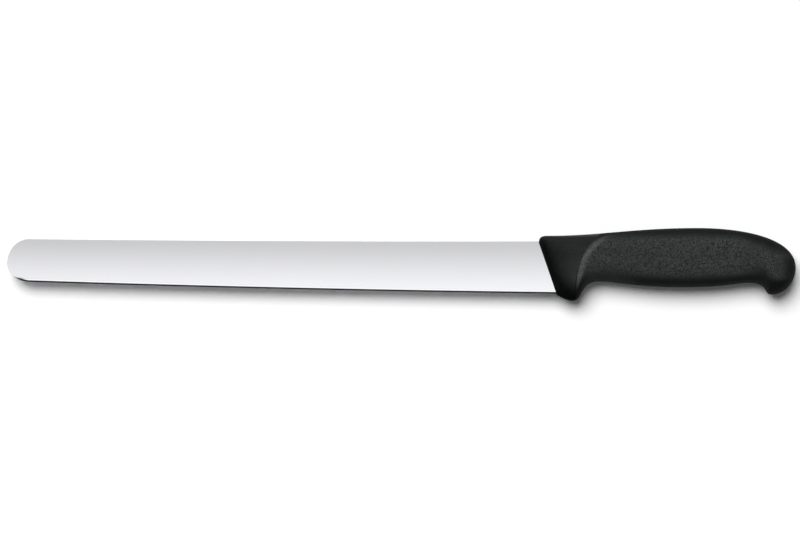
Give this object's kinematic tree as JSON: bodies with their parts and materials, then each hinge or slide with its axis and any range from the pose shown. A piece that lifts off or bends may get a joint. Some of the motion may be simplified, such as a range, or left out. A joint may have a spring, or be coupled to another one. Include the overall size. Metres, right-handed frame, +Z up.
{
  "type": "ham knife",
  "caption": "Long narrow slicing knife with a round-tipped plain-edged steel blade and a dark moulded handle with a finger guard, a textured grip and a hooked butt.",
  "frame": {"origin": "under the middle of the knife's length and height, level with its lowest side as it lies flat", "axes": "+X from the tip to the butt, +Y from the edge to the spine, +Z up through the thickness of the blade"},
  "size_m": [0.4308, 0.0398, 0.022],
  "materials": {
    "blade_steel": "fine-ground stainless sheet steel",
    "core_plastic": "smooth satin black moulded plastic",
    "grip_rubber": "soft black elastomer with a fine pebbled grain"
  },
  "bodies": {
    "root": {"blade": "blade_steel", "handle_core": "core_plastic", "handle_grip": "grip_rubber"}
  },
  "joints": []
}
